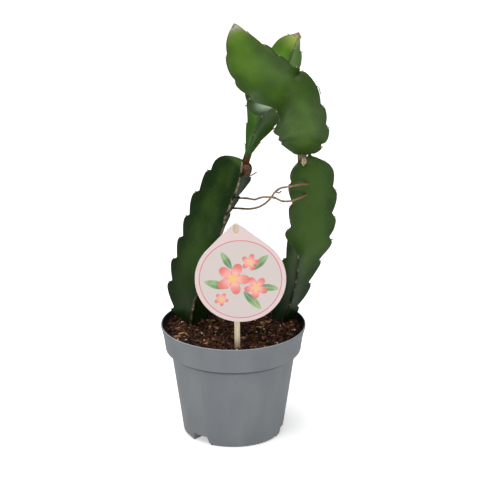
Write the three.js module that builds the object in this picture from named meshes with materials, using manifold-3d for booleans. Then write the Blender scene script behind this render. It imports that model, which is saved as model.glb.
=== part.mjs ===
// A potted dragon fruit cactus: two rooted cuttings with three ribs each, each cutting with one young
// shoot, joined by a pair of aerial roots, in a filled nursery pot with a round card label on a stick.
// Millimetres, +Z up. The origin is on the pot's axis, on the surface that the pot stands on, and the
// front faces -Y.
import * as THREE from "three";
import { mergeVertices } from "three/addons/utils/BufferGeometryUtils.js";
import Module from "manifold-3d";

const wasm = await Module();
wasm.setup();

const QUARTER_TURN = Math.PI / 2;
const FULL_TURN = 2 * Math.PI;
const GAP = 0.35; // clearance between pieces that touch
const point = (x, y, z) => new THREE.Vector3(x, y, z);
const { clamp, degToRad, lerp } = THREE.MathUtils;

// Pot: a tapered cup with a tall collar, and a flat base with drainage pockets in its edge
const POT_HEIGHT = 95;
const RIM_RADIUS = 60;
const LIP_HEIGHT = 8; // the collar flares over this height below the rim
const LIP_FLARE = 2;
const LIP_EDGE = 1; // upright edge at the top of the flare
const COLLAR_HEIGHT = 22.5;
const COLLAR_FOOT_RADIUS = 56;
const SHELF_RISE = 0.5; // slope of the shelf between body and collar
const BODY_TOP_RADIUS = 51.6;
const BASE_RADIUS = 41.4;
const BASE_ROUND = 2.5;
const WALL = 1.2;
const POT_SIDES = 60;
const POCKET_COUNT = 3;
const POCKET_AZIMUTH = degToRad(-40.6); // from the front, positive to the right
const POCKET_FOOT_WIDTH = 19;
const POCKET_ROOF_WIDTH = 14;
const POCKET_HEIGHT = 7.5;
const POCKET_INNER_RADIUS = 25;
const DRAIN_RADIUS = 3.5;
const DRAIN_CENTRE_RADIUS = 32;
const DRAIN_SIDES = 12;

// Soil: peat mix up to just below the rim, with a lumpy top
const SOIL_LEVEL = 91;
const SOIL_SIDES = 48;
const SOIL_TOP_RINGS = 10;
const SOIL_LUMPS = 130;
const LUMP_HEIGHT = 1.5;
const LUMP_RADIUS = 5;
const RELIEF_LIMIT = 2; // furthest that the lumps rise or sink
const SOIL_EDGE_DROP = 0.5; // the soil sinks this far along the wall
const CENTRE_SHARE = 0.3; // radius of the innermost ring of the top, in ring widths past the first
const SOIL_SEED = 7;

// Cuttings and shoots
const RIBS = 3;
const FACE_STEPS = 5; // flats across each face between two ribs
const STEPS_PER_PITCH = 5;
const LOBE_PEAK = 0.77; // share of the pitch, from the lobe's foot, where it stands out most
const MEAN_LOBE = 0.6; // share of the lobes' depth that stands inside the rib's even line
const AREOLE_AT = 0.9; // share of the pitch where the areole sits, on the lobe's upper shoulder
const EDGE_AT_TIP = 0.3; // share of an edge's width that is left at the tip
const TIP_STOP = 0.02; // share of the tip's length between the last ring and the pole
const SPINELESS_TIP = 0.2; // share of the tip's length that bears no spines
const SPINE_LENGTH = 2.2;
const SPINE_RADIUS = 0.7;
const SPINE_SIDES = 3;
const SPINE_ROOT = 1.2; // how deep a spine is sunk into its rib
const SPINE_LEAN = 0.5; // how far a spine leans towards the stem's tip
const FRONT = point(0, -1, 0);

// Aerial roots
const ROOT_RADIUS = 0.85;
const ROOT_STEP = 3;
const ROOT_ARC_SIDES = 3; // flats on each half of a root's section

// Label card and its stick
const CARD_RADIUS = 37;
const CARD_POINT_HEIGHT = 45; // from the round's centre to the centre of the rounded point
const CARD_POINT_RADIUS = 3.6;
const CARD_THICKNESS = 0.7;
const CARD_CENTRE = point(6, -48, 152.3);
const CARD_ROLL = degToRad(5);
const CARD_ARC_SIDES = 18;
const WINDOW_WIDTH = 4.2;
const WINDOW_HEIGHT = 7.5;
const STICK_WIDTH = 4.6;
const STICK_THICKNESS = 2;
const STICK_FOOT = point(3.9, 0, 64);
const STICK_TOP = point(2.1, 0, 199);

// A closed geometry as a solid that can be joined and cut
function solidOf(geometry) {
  const bare = new THREE.BufferGeometry();
  bare.setAttribute("position", geometry.getAttribute("position"));
  bare.setIndex(geometry.index);
  const merged = mergeVertices(bare, 1e-4);
  const vertProperties = merged.attributes.position.array;
  const triVerts = new Uint32Array(merged.index.array);
  return new wasm.Manifold(new wasm.Mesh({ numProp: 3, vertProperties, triVerts }));
}

function geometryOf(solid) {
  const { vertProperties, triVerts } = solid.getMesh();
  const geometry = new THREE.BufferGeometry();
  geometry.setAttribute("position", new THREE.BufferAttribute(new Float32Array(vertProperties), 3));
  geometry.setIndex(new THREE.BufferAttribute(new Uint32Array(triVerts), 1));
  return geometry;
}

// A closed skin over rings of equally many points, with a pole at each end
function skinOver(rings, firstPole, lastPole) {
  const sides = rings[0].length;
  const points = [firstPole, ...rings.flat(), lastPole];
  const at = (ring, side) => 1 + ring * sides + (side % sides);
  const index = [];
  for (let side = 0; side < sides; side++) {
    index.push(0, at(0, side + 1), at(0, side));
    for (let ring = 0; ring + 1 < rings.length; ring++) {
      index.push(at(ring, side), at(ring, side + 1), at(ring + 1, side + 1));
      index.push(at(ring, side), at(ring + 1, side + 1), at(ring + 1, side));
    }
    index.push(at(rings.length - 1, side), at(rings.length - 1, side + 1), points.length - 1);
  }
  return new THREE.BufferGeometry().setFromPoints(points).setIndex(index);
}

// A turned solid about +Z from a profile of [radius, height] that starts and ends on the axis
function turned(profile, sides) {
  const points = profile.map(([radius, height]) => new THREE.Vector2(radius, height));
  return new THREE.LatheGeometry(points, sides).rotateX(QUARTER_TURN);
}

// A repeatable source of numbers from 0 to 1
function seededRandom(seed) {
  let state = seed;
  return () => {
    state = (state * 16807) % 2147483647;
    return state / 2147483647;
  };
}

// The value at a share of the way along evenly spaced stops
function between(stops, share) {
  const place = clamp(share, 0, 1) * (stops.length - 1);
  const stop = Math.min(Math.floor(place), stops.length - 2);
  return lerp(stops[stop], stops[stop + 1], place - stop);
}

// The pot's outer line from the base's centre up to the rim, set in by a distance
function potLine(inset, floor) {
  const collarFoot = POT_HEIGHT - COLLAR_HEIGHT;
  return [
    [0, floor],
    [BASE_RADIUS - BASE_ROUND - inset, floor],
    [BASE_RADIUS - inset, floor + BASE_ROUND],
    [BODY_TOP_RADIUS - inset, collarFoot + inset],
    [COLLAR_FOOT_RADIUS - inset, collarFoot + inset + SHELF_RISE],
    [RIM_RADIUS - LIP_FLARE - inset, POT_HEIGHT - LIP_HEIGHT],
    [RIM_RADIUS - inset, POT_HEIGHT - LIP_EDGE],
  ];
}

// A trapezoid bar towards -Y from one distance to another, open below the base
function trapezoidPrism(footWidth, roofWidth, height, from, to) {
  const outline = new THREE.Shape();
  outline.moveTo(-footWidth / 2, -WALL);
  outline.lineTo(footWidth / 2, -WALL);
  outline.lineTo(roofWidth / 2, height);
  outline.lineTo(-roofWidth / 2, height);
  const prism = new THREE.ExtrudeGeometry(outline, { depth: to - from, bevelEnabled: false });
  return prism.rotateX(QUARTER_TURN).translate(0, -from, 0);
}

// The drainage pockets as solids grown by a distance, each one a trapezoid cut in from the base's edge
function pockets(grown) {
  const solids = [];
  for (let i = 0; i < POCKET_COUNT; i++) {
    const block = trapezoidPrism(
      POCKET_FOOT_WIDTH + 2 * grown,
      POCKET_ROOF_WIDTH + 2 * grown,
      POCKET_HEIGHT + grown,
      POCKET_INNER_RADIUS - grown,
      RIM_RADIUS,
    );
    solids.push(solidOf(block.rotateZ(POCKET_AZIMUTH + (i * FULL_TURN) / POCKET_COUNT)));
  }
  return wasm.Manifold.union(solids);
}

function drains() {
  const solids = [];
  for (let i = 0; i < POCKET_COUNT; i++) {
    const hole = new THREE.CylinderGeometry(DRAIN_RADIUS, DRAIN_RADIUS, 2 * POCKET_HEIGHT, DRAIN_SIDES);
    hole.rotateX(QUARTER_TURN).translate(0, -DRAIN_CENTRE_RADIUS, POCKET_HEIGHT);
    solids.push(solidOf(hole.rotateZ(POCKET_AZIMUTH + (i * FULL_TURN) / POCKET_COUNT)));
  }
  return wasm.Manifold.union(solids);
}

function potSolid() {
  const outside = [...potLine(0, 0), [RIM_RADIUS, POT_HEIGHT]];
  const inside = [...potLine(WALL, WALL), [RIM_RADIUS - WALL, POT_HEIGHT]];
  const form = solidOf(turned([...outside, [0, POT_HEIGHT]], POT_SIDES));
  const cup = solidOf(turned([...outside, ...inside.reverse()], POT_SIDES));
  return cup.add(form.intersect(pockets(WALL))).subtract(pockets(0)).subtract(drains());
}

// Height of the soil's top over a place, from lumps strewn over the pot's mouth
function soilRelief() {
  const random = seededRandom(SOIL_SEED);
  const lumps = Array.from({ length: SOIL_LUMPS }, () => {
    const radius = RIM_RADIUS * Math.sqrt(random());
    const turn = FULL_TURN * random();
    const size = LUMP_RADIUS * (0.6 + random());
    const height = LUMP_HEIGHT * (2 * random() - 0.8);
    return { x: radius * Math.cos(turn), y: radius * Math.sin(turn), size, height };
  });
  return (x, y) => {
    const rise = (sum, lump) =>
      sum + lump.height * Math.exp(-((x - lump.x) ** 2 + (y - lump.y) ** 2) / lump.size ** 2);
    return clamp(lumps.reduce(rise, 0), -RELIEF_LIMIT, RELIEF_LIMIT) + SOIL_LEVEL;
  };
}

function soilSolid(holes) {
  const inset = WALL + GAP;
  const wall = potLine(inset, inset).slice(1, -1);
  const [lipRadius, lipHeight] = wall.at(-1);
  const reach = lipRadius + ((SOIL_LEVEL - lipHeight) * LIP_FLARE) / (LIP_HEIGHT - LIP_EDGE);
  const relief = soilRelief();
  const ringOf = (radius, heightAt) =>
    Array.from({ length: SOIL_SIDES }, (_, i) => {
      const turn = (i * FULL_TURN) / SOIL_SIDES;
      const x = radius * Math.cos(turn);
      const y = radius * Math.sin(turn);
      return point(x, y, heightAt(x, y));
    });
  const rings = wall.map(([radius, height]) => ringOf(radius, () => height));
  rings.push(ringOf(reach, () => SOIL_LEVEL - SOIL_EDGE_DROP));
  for (let i = SOIL_TOP_RINGS - 1; i > 0; i--) {
    rings.push(ringOf((reach * (i + CENTRE_SHARE)) / SOIL_TOP_RINGS, relief));
  }
  const body = solidOf(skinOver(rings, point(0, 0, inset), point(0, 0, relief(0, 0))));
  return holes.reduce((soil, hole) => soil.subtract(hole), body.subtract(pockets(WALL + GAP)));
}

// A stem with three ribs along a curved line. Each rib's edge is cut into lobes that lean towards the tip,
// with an areole on each lobe's upper shoulder. Angles are from the front, positive to the right.
class RibbedStem {
  constructor(form) {
    Object.assign(this, form);
    this.line = new THREE.CatmullRomCurve3(form.line, false, "centripetal");
    this.length = this.line.getLength();
  }

  // Axes of the section at a distance along the line
  sectionAt(distance) {
    const u = clamp(distance / this.length, 0, 1);
    const along = this.line.getTangentAt(u);
    const front = FRONT.clone().addScaledVector(along, -FRONT.dot(along)).normalize();
    const right = along.clone().cross(front);
    return { centre: this.line.getPointAt(u), along, front, right };
  }

  // How far a rib's local bends turn it or swell it at a distance
  bent(distance, rib, effect) {
    const bends = this.bends.filter((bend) => bend.rib === rib);
    return bends.reduce((sum, b) => sum + b[effect] * Math.exp(-(((distance - b.middle) / b.reach) ** 2)), 0);
  }

  ribDirection(distance, rib) {
    const { front, right } = this.sectionAt(distance);
    const evenAngle = degToRad(between(this.ribAngles, distance / this.length)) + (rib * FULL_TURN) / RIBS;
    const angle = evenAngle + degToRad(this.bent(distance, rib, "turn"));
    return front.multiplyScalar(Math.cos(angle)).addScaledVector(right, Math.sin(angle));
  }

  // How full the stem is at a distance: it swells from its foot and rounds off at its tip
  fullness(distance) {
    const round = (share, power) => (1 - (1 - clamp(share, 0, 1)) ** power) ** (1 / power);
    const { neckShare, neckLength, footLength, footPower, tipLength, tipPower } = this;
    const foot = lerp(neckShare, 1, round((distance - neckLength) / footLength, footPower));
    return foot * round((this.length - distance) / tipLength, tipPower);
  }

  lobe(distance, rib) {
    const share = (distance - this.plainLength) / this.pitch + this.lobeShift + rib / RIBS;
    const rise = share - Math.floor(share);
    if (distance < this.plainLength) return 0;
    if (rise < LOBE_PEAK) return Math.sin((QUARTER_TURN * rise) / LOBE_PEAK);
    return Math.cos((QUARTER_TURN * (rise - LOBE_PEAK)) / (1 - LOBE_PEAK));
  }

  // Reach of a rib's edge from the line, without its lobes
  evenRadius(distance, rib) {
    const full = this.ribShares[rib] * between(this.ribRadii, distance / this.length);
    return full * this.fullness(distance) + this.bent(distance, rib, "swell");
  }

  ribRadius(distance, rib) {
    const depth = this.lobeDepth * (this.lobe(distance, rib) - MEAN_LOBE);
    return this.evenRadius(distance, rib) + this.fullness(distance) * depth;
  }

  crest(distance, rib) {
    const { centre } = this.sectionAt(distance);
    return centre.addScaledVector(this.ribDirection(distance, rib), this.ribRadius(distance, rib));
  }

  // The ring of points round a section: the two corners of each rib's edge, and a hollow curve to the next
  ringAt(distance, grown) {
    const { centre, along } = this.sectionAt(distance);
    const fullness = this.fullness(distance);
    const corners = [];
    for (let rib = 0; rib < RIBS; rib++) {
      const out = this.ribDirection(distance, rib);
      const across = along.clone().cross(out);
      const tip = out.clone().multiplyScalar(this.ribRadius(distance, rib) + grown);
      const half = this.edgeWidth * Math.min(1, EDGE_AT_TIP + fullness) * 0.5 + grown;
      corners.push([tip.clone().addScaledVector(across, -half), tip.clone().addScaledVector(across, half)]);
    }
    const ring = [];
    for (let rib = 0; rib < RIBS; rib++) {
      const from = corners[rib][1];
      const to = corners[(rib + 1) % RIBS][0];
      const middle = from.clone().add(to).normalize();
      const reach = this.evenRadius(distance, rib) + this.evenRadius(distance, (rib + 1) % RIBS);
      const valley = this.valleyShare * reach * 0.5 + grown;
      const pull = middle.multiplyScalar(2 * valley).addScaledVector(from, -0.5).addScaledVector(to, -0.5);
      ring.push(corners[rib][0]);
      ring.push(...new THREE.QuadraticBezierCurve3(from, pull, to).getPoints(FACE_STEPS).slice(0, -1));
    }
    return ring.map((p) => p.add(centre));
  }

  body(grown = 0) {
    const last = this.length - this.tipLength * TIP_STOP;
    const steps = Math.round((last / this.pitch) * STEPS_PER_PITCH);
    const rings = Array.from({ length: steps + 1 }, (_, i) => this.ringAt((last * i) / steps, grown));
    const foot = this.sectionAt(0);
    const tip = this.sectionAt(this.length);
    const footPole = foot.centre.addScaledVector(foot.along, -grown);
    return solidOf(skinOver(rings, footPole, tip.centre.addScaledVector(tip.along, grown)));
  }

  // Places of the areoles from the foot up, over every rib
  areoles() {
    const places = [];
    for (let rib = 0; rib < RIBS; rib++) {
      const first = this.plainLength + this.pitch * (AREOLE_AT - this.lobeShift - rib / RIBS);
      const last = this.length - this.tipLength * SPINELESS_TIP;
      for (let distance = first; distance < last; distance += this.pitch) {
        if (distance > this.plainLength) places.push({ distance, rib });
      }
    }
    return places;
  }

  spines() {
    return this.areoles().map(({ distance, rib }) => {
      const { along } = this.sectionAt(distance);
      const lean = this.ribDirection(distance, rib).addScaledVector(along, SPINE_LEAN).normalize();
      const long = SPINE_LENGTH + SPINE_ROOT;
      const spine = new THREE.ConeGeometry(SPINE_RADIUS, long, SPINE_SIDES).translate(0, long / 2, 0);
      spine.applyQuaternion(new THREE.Quaternion().setFromUnitVectors(point(0, 1, 0), lean));
      const root = this.crest(distance, rib).addScaledVector(lean, -SPINE_ROOT);
      return solidOf(spine.translate(root.x, root.y, root.z));
    });
  }

  solid() {
    return wasm.Manifold.union([this.body(), ...this.spines()]);
  }
}

const leftCutting = new RibbedStem({
  line: [
    point(-32, 14.5, 72),
    point(-35, 16, 91),
    point(-33.9, 17.5, 115.5),
    point(-25.3, 17.5, 151.4),
    point(-14.1, 16, 189.3),
    point(-4, 15, 211),
    point(7, 14, 233.5),
  ],
  ribAngles: [-4, 2, 12, 23, 17, 8],
  bends: [],
  ribRadii: [12, 18, 23.2, 23.4, 23, 23, 22.5, 22, 21],
  ribShares: [1, 0.97, 0.94],
  valleyShare: 0.44,
  edgeWidth: 2.4,
  pitch: 20,
  lobeDepth: 4,
  lobeShift: 0,
  plainLength: 22,
  neckShare: 0.6,
  neckLength: 0,
  footLength: 12,
  footPower: 2,
  tipLength: 20,
  tipPower: 2.1,
});

const rightCutting = new RibbedStem({
  line: [
    point(38, 17, 72),
    point(40.3, 17, 90),
    point(49.7, 16.5, 118),
    point(57, 16, 145.7),
    point(62.6, 15.5, 167.1),
    point(65.7, 14.5, 193.7),
    point(65.9, 13.5, 215.9),
    point(62.1, 13, 237),
  ],
  ribAngles: [0, 0, -4, -14, -56, -62, -62],
  bends: [{ rib: 0, middle: 98, reach: 9, turn: -24, swell: 1 }],
  ribRadii: [11, 12.5, 16, 20, 22, 22.5, 22],
  ribShares: [1, 0.9, 0.95],
  valleyShare: 0.4,
  edgeWidth: 2.4,
  pitch: 22,
  lobeDepth: 4,
  lobeShift: 0.1,
  plainLength: 22,
  neckShare: 0.6,
  neckLength: 0,
  footLength: 12,
  footPower: 2,
  tipLength: 17,
  tipPower: 2,
});

const leftShoot = new RibbedStem({
  line: [
    point(9, 13, 227),
    point(11.1, 14, 234.7),
    point(16.2, 16.5, 250.3),
    point(24.2, 22, 268.3),
    point(34.2, 29, 291.7),
    point(43.6, 32, 316),
    point(47.1, 32.5, 324.7),
    point(53.2, 33, 335),
  ],
  ribAngles: [-12, -10, 0, 12],
  bends: [],
  ribRadii: [18, 18, 20, 19.5, 17.5, 16],
  ribShares: [0.95, 1, 1],
  valleyShare: 0.36,
  edgeWidth: 1.6,
  pitch: 16,
  lobeDepth: 1.8,
  lobeShift: 0,
  plainLength: 14,
  neckShare: 0.2,
  neckLength: 13,
  footLength: 42,
  footPower: 1,
  tipLength: 26,
  tipPower: 1.4,
});

const rightShoot = new RibbedStem({
  line: [
    point(56.5, 12, 228),
    point(56.3, 11, 240),
    point(57, 5.5, 256),
    point(55.9, -1, 269),
    point(45.9, -11, 290),
    point(34.9, -14, 300.1),
    point(22.8, -17, 317.8),
    point(12.5, -18, 330.6),
    point(5.6, -18.5, 343.3),
    point(0.8, -19, 359),
  ],
  ribAngles: [-60, -60, -58, -56],
  bends: [
    { rib: 0, middle: 84, reach: 14, turn: 46, swell: 0 },
    { rib: 1, middle: 84, reach: 16, turn: 40, swell: 0 },
    { rib: 2, middle: 86, reach: 18, turn: 82, swell: 9 },
  ],
  ribRadii: [17, 19.5, 24.5, 26.5, 24.5, 22, 21],
  ribShares: [1, 1, 0.7],
  valleyShare: 0.34,
  edgeWidth: 1.6,
  pitch: 17,
  lobeDepth: 2.7,
  lobeShift: 0,
  plainLength: 16,
  neckShare: 0.26,
  neckLength: 12,
  footLength: 25,
  footPower: 1.7,
  tipLength: 34,
  tipPower: 1.35,
});

// A round bar along a curve through a few points
function rootAlong(points) {
  const section = new THREE.Shape();
  section.absarc(0, 0, ROOT_RADIUS, 0, FULL_TURN);
  const line = new THREE.CatmullRomCurve3(points, false, "centripetal");
  const steps = Math.round(line.getLength() / ROOT_STEP);
  const settings = { steps, extrudePath: line, curveSegments: ROOT_ARC_SIDES };
  return solidOf(new THREE.ExtrudeGeometry(section, settings));
}

// Two aerial roots that grew from the right cutting's face over to the left one and grip each other
function aerialRootsSolid() {
  const high = rootAlong([
    point(62, 6, 215),
    point(56, -3, 218),
    point(47.2, -4.5, 216.6),
    point(39, -3, 214.5),
    point(34.2, -1, 210.3),
    point(30.2, 0, 204.2),
    point(26, 3, 199),
    point(20.4, 5, 195.1),
    point(13.1, 7, 193),
    point(5.7, 9, 192.7),
    point(-3.4, 12, 192),
  ]);
  const low = rootAlong([
    point(60.5, 6, 206),
    point(54.4, -3, 206),
    point(47.3, -4.5, 203.9),
    point(39.9, -2.5, 203.2),
    point(34.2, -0.5, 205.1),
    point(29.3, 0, 205.8),
    point(22.8, 2, 204.7),
    point(17.9, 4, 202.2),
    point(12.2, 6, 202.4),
    point(5.7, 9, 201.8),
    point(-0.2, 12, 201),
  ]);
  const spur = rootAlong([point(34.6, -1, 210.6), point(37.2, -3, 210.4), point(39.6, -4, 212.6)]);
  return wasm.Manifold.union([high, low, spur])
    .subtract(leftCutting.body(GAP))
    .subtract(rightCutting.body(GAP));
}

// The card's outline: a round below, with a rounded point above that both sides run to
function cardOutline() {
  const lean = Math.asin((CARD_RADIUS - CARD_POINT_RADIUS) / CARD_POINT_HEIGHT);
  const outline = new THREE.Shape();
  outline.absarc(0, CARD_POINT_HEIGHT, CARD_POINT_RADIUS, lean, Math.PI - lean, false);
  outline.absarc(0, 0, CARD_RADIUS, Math.PI - lean, FULL_TURN + lean, false);
  const half = WINDOW_WIDTH / 2;
  const foot = CARD_POINT_HEIGHT - WINDOW_HEIGHT + half;
  const window = new THREE.Path();
  window.absarc(0, CARD_POINT_HEIGHT, half, 0, Math.PI, false);
  window.absarc(0, foot, half, Math.PI, FULL_TURN, false);
  outline.holes.push(window);
  return outline;
}

function cardGeometry() {
  const settings = { depth: CARD_THICKNESS, bevelEnabled: false, curveSegments: CARD_ARC_SIDES };
  return new THREE.ExtrudeGeometry(cardOutline(), settings);
}

const stickLine = STICK_TOP.clone().sub(STICK_FOOT);
const stickY = CARD_CENTRE.y + GAP + STICK_THICKNESS / 2;
const stickLean = Math.atan2(stickLine.x, stickLine.z);
const stickCentre = STICK_FOOT.clone().add(STICK_TOP).multiplyScalar(0.5).setY(stickY);

function stickGeometry(grown = 0) {
  const width = STICK_WIDTH + 2 * grown;
  const thickness = STICK_THICKNESS + 2 * grown;
  return new THREE.BoxGeometry(width, thickness, stickLine.length() + 2 * grown);
}

function stickHole() {
  const hole = stickGeometry(GAP).rotateY(stickLean);
  return solidOf(hole.translate(stickCentre.x, stickCentre.y, stickCentre.z));
}

function piece(name, geometry, color, roughness) {
  const material = new THREE.MeshStandardMaterial({ color, roughness, metalness: 0 });
  const mesh = new THREE.Mesh(geometry, material);
  mesh.name = name;
  return mesh;
}

const pot = piece("pot", geometryOf(potSolid()), 0x7d8487, 0.55);

const soilHoles = [leftCutting.body(GAP), rightCutting.body(GAP), stickHole()];
const soil = piece("soil", geometryOf(soilSolid(soilHoles)), 0x3a231b, 0.95);

const leftPlant = leftCutting.solid().add(leftShoot.solid());
const leftStem = piece("left_stem", geometryOf(leftPlant), 0x2f4a24, 0.5);

const rightPlant = rightCutting.solid().add(rightShoot.solid());
const rightStem = piece("right_stem", geometryOf(rightPlant), 0x3d5f2a, 0.5);

const aerialRoots = piece("aerial_roots", geometryOf(aerialRootsSolid()), 0x7a5636, 0.85);

const labelCard = piece("label_card", cardGeometry(), 0xecd5d6, 0.6);
labelCard.rotation.set(QUARTER_TURN, 0, 0);
labelCard.rotateZ(CARD_ROLL);
labelCard.position.copy(CARD_CENTRE);

const labelStick = piece("label_stick", stickGeometry(), 0xdccba8, 0.8);
labelStick.rotation.set(0, stickLean, 0);
labelStick.position.copy(stickCentre);

const pottedCactus = new THREE.Group();
pottedCactus.add(pot, soil, leftStem, rightStem, aerialRoots, labelCard, labelStick);

export default pottedCactus;
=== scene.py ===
import math
import random

import bmesh
import bpy
from mathutils import Matrix, Vector, noise


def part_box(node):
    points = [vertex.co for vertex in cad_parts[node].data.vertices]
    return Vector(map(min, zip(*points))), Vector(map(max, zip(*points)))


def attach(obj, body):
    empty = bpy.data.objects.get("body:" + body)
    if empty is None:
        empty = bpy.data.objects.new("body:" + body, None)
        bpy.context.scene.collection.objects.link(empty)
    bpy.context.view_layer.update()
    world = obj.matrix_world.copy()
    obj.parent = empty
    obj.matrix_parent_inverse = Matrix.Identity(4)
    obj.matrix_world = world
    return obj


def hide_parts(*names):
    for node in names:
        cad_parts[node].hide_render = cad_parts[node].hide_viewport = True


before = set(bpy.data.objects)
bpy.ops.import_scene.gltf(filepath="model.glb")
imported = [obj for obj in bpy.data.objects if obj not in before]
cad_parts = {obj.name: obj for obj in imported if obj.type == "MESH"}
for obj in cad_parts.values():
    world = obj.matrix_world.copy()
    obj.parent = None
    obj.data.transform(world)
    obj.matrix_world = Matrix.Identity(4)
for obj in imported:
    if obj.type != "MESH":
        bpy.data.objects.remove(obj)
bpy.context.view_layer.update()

# The pot is a thin moulded nursery pot, with a grey outer layer over a black inner one. A deep collar
# stiffens its mouth, and pockets in the flat base's edge, each with a drain hole, let water out.
MM = 0.001
POT_SIDES = 160
POT_WALL = 1.2
POT_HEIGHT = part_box("pot")[1].z / MM
RIM_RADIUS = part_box("pot")[1].x / MM
LIP_HEIGHT = 8
LIP_FLARE = 2
LIP_EDGE = 1.5
COLLAR_HEIGHT = 22.5
SHELF_RISE = 0.5
COLLAR_FOOT_RADIUS = 56
BODY_TOP_RADIUS = 51.6
BASE_RADIUS = 41.4
BASE_ROUND = 2.5
CORNER_ROUNDS = {4: 0.7, 5: 1, 6: 5, 8: 0.5, 9: 0.5, 11: 4, 12: 1.2, 13: 1.2}
POCKET_COUNT = 3
POCKET_TURN = math.radians(-40.6)
POCKET_WIDTHS = (19, 14)
POCKET_HEIGHT = 7.5
POCKET_INNER_RADIUS = 25
SHELL_INSET = 0.4
DRAIN_RADIUS = 3.5
DRAIN_CENTRE_RADIUS = 32
POT_GREY = (0.152, 0.166, 0.179, 1)
POT_GREY_WORN = (0.176, 0.192, 0.203, 1)
POT_LIP_HIGHLIGHT = (0.36, 0.38, 0.39, 1)
POT_BLACK = (0.012, 0.012, 0.013, 1)
POT_DUST = (0.05, 0.04, 0.032, 1)


class Shade:
    """A socket in a material's nodes. Arithmetic on sockets and numbers adds Math nodes."""

    def __init__(self, tree, socket):
        self.tree = tree
        self.socket = socket

    def node(self, kind, settings, inputs, output=0):
        """Adds a node with its settings and inputs, and gives one of its outputs."""
        made = self.tree.nodes.new(kind)
        for name, value in settings.items():
            setattr(made, name, value)
        for name, value in inputs.items():
            if isinstance(value, Shade):
                self.tree.links.new(value.socket, made.inputs[name])
            else:
                made.inputs[name].default_value = value
        return Shade(self.tree, made.outputs[output])

    def math(self, operation, *values):
        return self.node("ShaderNodeMath", {"operation": operation}, dict(enumerate(values)))

    def __add__(self, other):
        return self.math("ADD", self, other)

    def __sub__(self, other):
        return self.math("SUBTRACT", self, other)

    def __rsub__(self, other):
        return self.math("SUBTRACT", other, self)

    def __mul__(self, other):
        return self.math("MULTIPLY", self, other)

    def __truediv__(self, other):
        return self.math("DIVIDE", self, other)

    __radd__ = __add__
    __rmul__ = __mul__


def new_material(name):
    """A material, its shader and the piece's own coordinates in millimetres."""
    material = bpy.data.materials.new(name)
    material.use_nodes = True
    tree = material.node_tree
    shader = tree.nodes["Principled BSDF"]
    metres = Shade(tree, tree.nodes.new("ShaderNodeTexCoord").outputs["Object"])
    place = metres.node("ShaderNodeVectorMath", {"operation": "SCALE"}, {0: metres, "Scale": 1 / MM})
    return material, shader, place


def stretched(place, x, y, z):
    return place.node("ShaderNodeVectorMath", {"operation": "MULTIPLY"}, {0: place, 1: (x, y, z)})


def mottle(place, size, detail=3.0, distortion=0.0):
    """Soft noise from 0 to 1 with blotches of about a size in millimetres."""
    inputs = {"Vector": place, "Scale": 1 / size, "Detail": detail, "Distortion": distortion}
    return place.node("ShaderNodeTexNoise", {}, inputs)


def rise(value, low, high):
    """0 below low, 1 above high and a smooth step between them."""
    settings = {"interpolation_type": "SMOOTHSTEP"}
    return value.node("ShaderNodeMapRange", settings, {"Value": value, "From Min": low, "From Max": high})


def mixed(factor, first, second):
    """A colour between two others."""
    inputs = {0: factor, 6: first, 7: second}
    return factor.node("ShaderNodeMix", {"data_type": "RGBA"}, inputs, 2)


def coat(shader, colour, roughness, height, depth):
    """Gives a shader its colour, roughness and a relief of some depth in millimetres."""
    tree = shader.id_data
    tree.links.new(colour.socket, shader.inputs["Base Color"])
    tree.links.new(roughness.socket, shader.inputs["Roughness"])
    bump = height.node("ShaderNodeBump", {}, {"Distance": depth * MM, "Height": height})
    tree.links.new(bump.socket, shader.inputs["Normal"])


def add_piece(name, shape, *materials):
    """Makes an object of a finished shape given in millimetres, smooth-shaded."""
    bmesh.ops.scale(shape, vec=(MM, MM, MM), verts=shape.verts)
    mesh = bpy.data.meshes.new(name)
    shape.to_mesh(mesh)
    shape.free()
    mesh.shade_smooth()
    for material in materials:
        mesh.materials.append(material)
    piece = bpy.data.objects.new(name, mesh)
    bpy.context.scene.collection.objects.link(piece)
    return piece


def combine(piece, tool, operation):
    """Joins a tool to a piece, or cuts it with the tool, which is used up."""
    boolean = piece.modifiers.new("combine", "BOOLEAN")
    boolean.object = tool
    boolean.operation = operation
    result = piece.evaluated_get(bpy.context.evaluated_depsgraph_get())
    mesh = bpy.data.meshes.new_from_object(result)
    piece.modifiers.clear()
    piece.data = mesh
    bpy.data.objects.remove(tool)


def spun(profile, roundings):
    """A solid of revolution from [radius, height] points, with some corners rounded."""
    shape = bmesh.new()
    corners = [shape.verts.new((radius, 0, height)) for radius, height in profile]
    for first, second in zip(corners, corners[1:]):
        shape.edges.new((first, second))
    for corner, radius in roundings.items():
        bmesh.ops.bevel(
            shape,
            geom=[corners[corner]],
            offset=radius,
            segments=6,
            profile=0.5,
            affect="VERTICES",
            material=-1,
        )
    geometry = shape.verts[:] + shape.edges[:]
    bmesh.ops.spin(
        shape,
        geom=geometry,
        cent=(0, 0, 0),
        axis=(0, 0, 1),
        angle=math.tau,
        steps=POT_SIDES,
        use_merge=True,
    )
    bmesh.ops.remove_doubles(shape, verts=shape.verts, dist=1e-4)
    bmesh.ops.recalc_face_normals(shape, faces=shape.faces)
    return shape


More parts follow.
